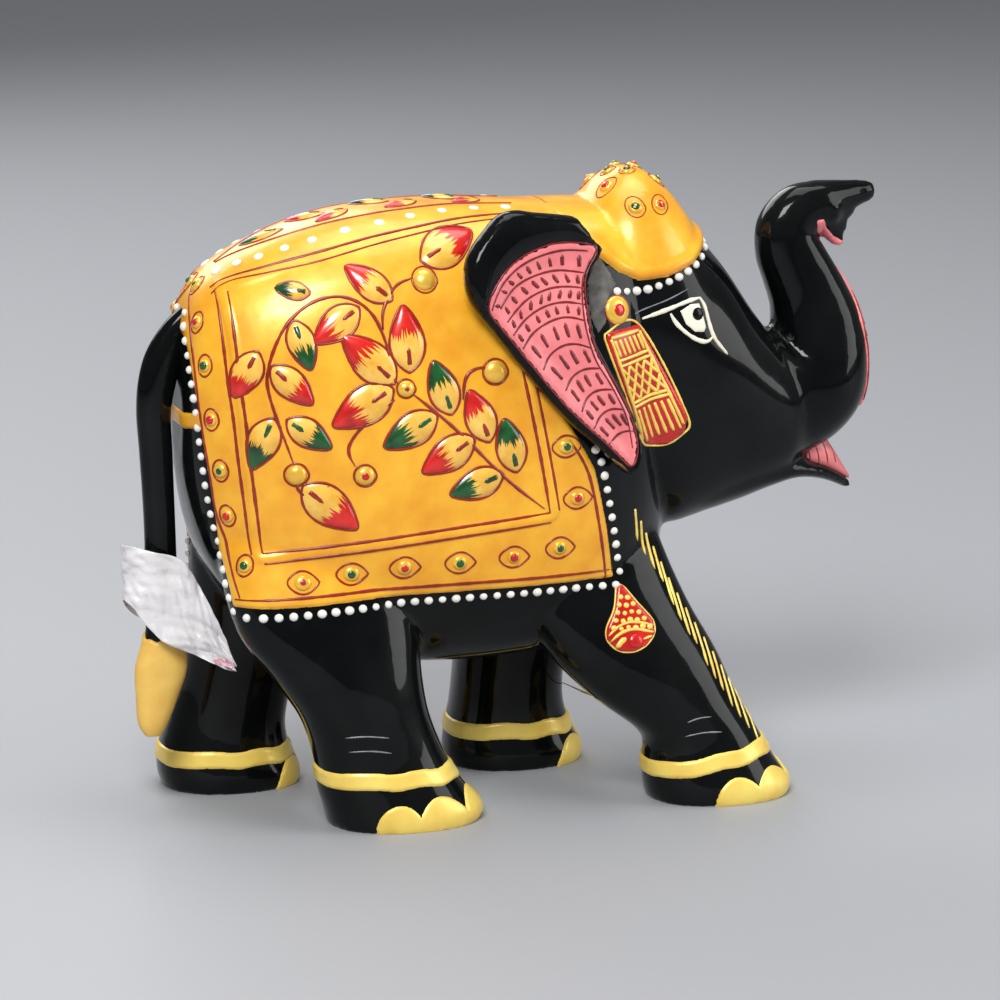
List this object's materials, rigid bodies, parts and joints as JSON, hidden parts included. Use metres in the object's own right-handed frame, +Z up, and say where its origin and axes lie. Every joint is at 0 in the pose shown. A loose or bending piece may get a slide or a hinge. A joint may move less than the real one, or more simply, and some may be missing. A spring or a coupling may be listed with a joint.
{
  "type": "elephant figurine",
  "caption": "Carved and lacquered wooden elephant walking with raised trunk, painted saddle cloth in raised gold relief, beads, leaves, pegged tail and glued ears.",
  "frame": {"origin": "middle of the bounding box, on the plane the four feet stand on", "axes": "+X towards the trunk, +Y towards the animal's left, +Z up"},
  "size_m": [0.1904, 0.0766, 0.1525],
  "materials": {
    "black_lacquer": "glossy black lacquer on carved wood",
    "gold_paint": "satin gold paint on a raised paste coat",
    "bright_gold": "glossy gold paint on raised paste",
    "pale_gold": "satin pale gold paint",
    "white_paint": "glossy off-white paint",
    "red_paint": "glossy red paint on raised paste",
    "pink_paint": "satin pink paint",
    "clear_film": "crumpled milky packing film"
  },
  "bodies": {
    "root": {"carved_body": "black_lacquer", "ear_right": "black_lacquer", "ear_left": "black_lacquer", "tail": "black_lacquer", "tail_tuft": "gold_paint", "tail_wrapper": "clear_film", "saddle_cloth": "gold_paint", "back_runner": "gold_paint", "runner_dots": "white_paint", "cloth_beads": "white_paint", "border_bosses": "bright_gold", "cloth_leaves": "red_paint", "vine_buds": "bright_gold", "head_cap": "gold_paint", "cap_bosses": "bright_gold", "cap_beads": "white_paint", "cheek_rosettes": "bright_gold", "cheek_pendant_right": "red_paint", "cheek_pendant_left": "red_paint", "eye_right": "white_paint", "eye_left": "white_paint", "ear_lining_right": "pink_paint", "ear_lining_left": "pink_paint", "trunk_lining": "pink_paint", "tongue": "pink_paint", "anklet_rear_right": "pale_gold", "anklet_rear_left": "pale_gold", "anklet_front_right": "pale_gold", "anklet_front_left": "pale_gold", "toenails_rear_right": "pale_gold", "toenails_rear_left": "pale_gold", "toenails_front_right": "pale_gold", "toenails_front_left": "pale_gold", "tassel_right": "red_paint", "tassel_left": "red_paint", "chest_fringe": "gold_paint", "crupper_strap": "gold_paint"}
  },
  "joints": []
}
